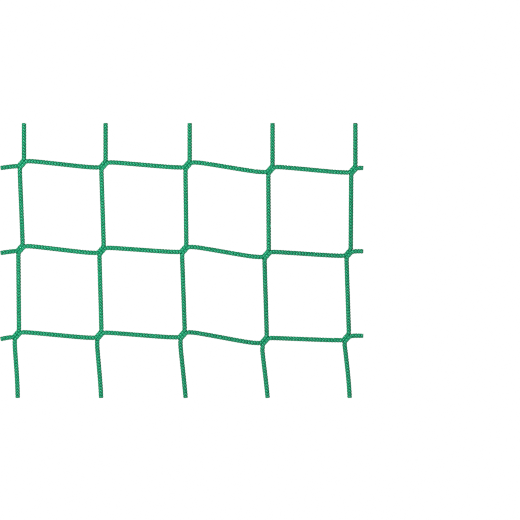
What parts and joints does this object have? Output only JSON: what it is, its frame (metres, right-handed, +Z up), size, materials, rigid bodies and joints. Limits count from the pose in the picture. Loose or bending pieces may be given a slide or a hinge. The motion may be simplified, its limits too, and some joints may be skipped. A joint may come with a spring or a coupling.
{
  "type": "cargo climbing net",
  "caption": "Piece of knotless square-mesh climbing net in green knitted cord, cut on all sides; it folds between its rows and its bottom tails swing.",
  "frame": {"origin": "the cut tip of the middle top tail, where the net hangs from", "axes": "+X along the rows to the right, +Y through the net away from the viewer's side, +Z up the hanging net"},
  "size_m": [0.432, 0.005, 0.3272],
  "materials": {
    "green_knitted_cord": "satin"
  },
  "bodies": {
    "top_row": {"top_row_left_end": "green_knitted_cord", "top_row_cord_1": "green_knitted_cord", "top_row_cord_2": "green_knitted_cord", "top_row_cord_3": "green_knitted_cord", "top_row_cord_4": "green_knitted_cord", "top_row_right_end": "green_knitted_cord", "upper_fold_bend_1": "green_knitted_cord", "upper_fold_bend_2": "green_knitted_cord", "upper_fold_bend_3": "green_knitted_cord", "upper_fold_bend_4": "green_knitted_cord", "upper_fold_bend_5": "green_knitted_cord"},
    "middle_row": {"middle_row_left_end": "green_knitted_cord", "middle_row_cord_1": "green_knitted_cord", "middle_row_cord_2": "green_knitted_cord", "middle_row_cord_3": "green_knitted_cord", "middle_row_cord_4": "green_knitted_cord", "middle_row_right_end": "green_knitted_cord", "lower_fold_bend_1": "green_knitted_cord", "lower_fold_bend_2": "green_knitted_cord", "lower_fold_bend_3": "green_knitted_cord", "lower_fold_bend_4": "green_knitted_cord", "lower_fold_bend_5": "green_knitted_cord"},
    "bottom_row": {"bottom_row_left_end": "green_knitted_cord", "bottom_row_cord_1": "green_knitted_cord", "bottom_row_cord_2": "green_knitted_cord", "bottom_row_cord_3": "green_knitted_cord", "bottom_row_cord_4": "green_knitted_cord", "bottom_row_right_end": "green_knitted_cord", "tail_bend_1": "green_knitted_cord", "tail_bend_2": "green_knitted_cord", "tail_bend_3": "green_knitted_cord", "tail_bend_4": "green_knitted_cord", "tail_bend_5": "green_knitted_cord"},
    "tail_1": {"bottom_tail_1": "green_knitted_cord"},
    "tail_2": {"bottom_tail_2": "green_knitted_cord"},
    "tail_3": {"bottom_tail_3": "green_knitted_cord"},
    "tail_4": {"bottom_tail_4": "green_knitted_cord"},
    "tail_5": {"bottom_tail_5": "green_knitted_cord"}
  },
  "joints": [
    {"name": "upper_fold", "type": "hinge", "parent": "top_row", "child": "middle_row", "pos_m": [0, 0, -0.103], "axis": [1, 0, 0], "range_deg": [-120, 120], "deforming": ["upper_fold_bend_1", "upper_fold_bend_2", "upper_fold_bend_3", "upper_fold_bend_4", "upper_fold_bend_5"]},
    {"name": "lower_fold", "type": "hinge", "parent": "middle_row", "child": "bottom_row", "pos_m": [0, 0, -0.2045], "axis": [1, 0, 0], "range_deg": [-120, 120], "deforming": ["lower_fold_bend_1", "lower_fold_bend_2", "lower_fold_bend_3", "lower_fold_bend_4", "lower_fold_bend_5"]},
    {"name": "tail_1_swing", "type": "hinge", "parent": "bottom_row", "child": "tail_1", "pos_m": [0, 0, -0.2855], "axis": [1, 0, 0], "range_deg": [-150, 150], "deforming": ["tail_bend_1"]},
    {"name": "tail_2_swing", "type": "hinge", "parent": "bottom_row", "child": "tail_2", "pos_m": [0, 0, -0.2855], "axis": [1, 0, 0], "range_deg": [-150, 150], "deforming": ["tail_bend_2"]},
    {"name": "tail_3_swing", "type": "hinge", "parent": "bottom_row", "child": "tail_3", "pos_m": [0, 0, -0.2855], "axis": [1, 0, 0], "range_deg": [-150, 150], "deforming": ["tail_bend_3"]},
    {"name": "tail_4_swing", "type": "hinge", "parent": "bottom_row", "child": "tail_4", "pos_m": [0, 0, -0.2855], "axis": [1, 0, 0], "range_deg": [-150, 150], "deforming": ["tail_bend_4"]},
    {"name": "tail_5_swing", "type": "hinge", "parent": "bottom_row", "child": "tail_5", "pos_m": [0, 0, -0.2855], "axis": [1, 0, 0], "range_deg": [-150, 150], "deforming": ["tail_bend_5"]}
  ]
}
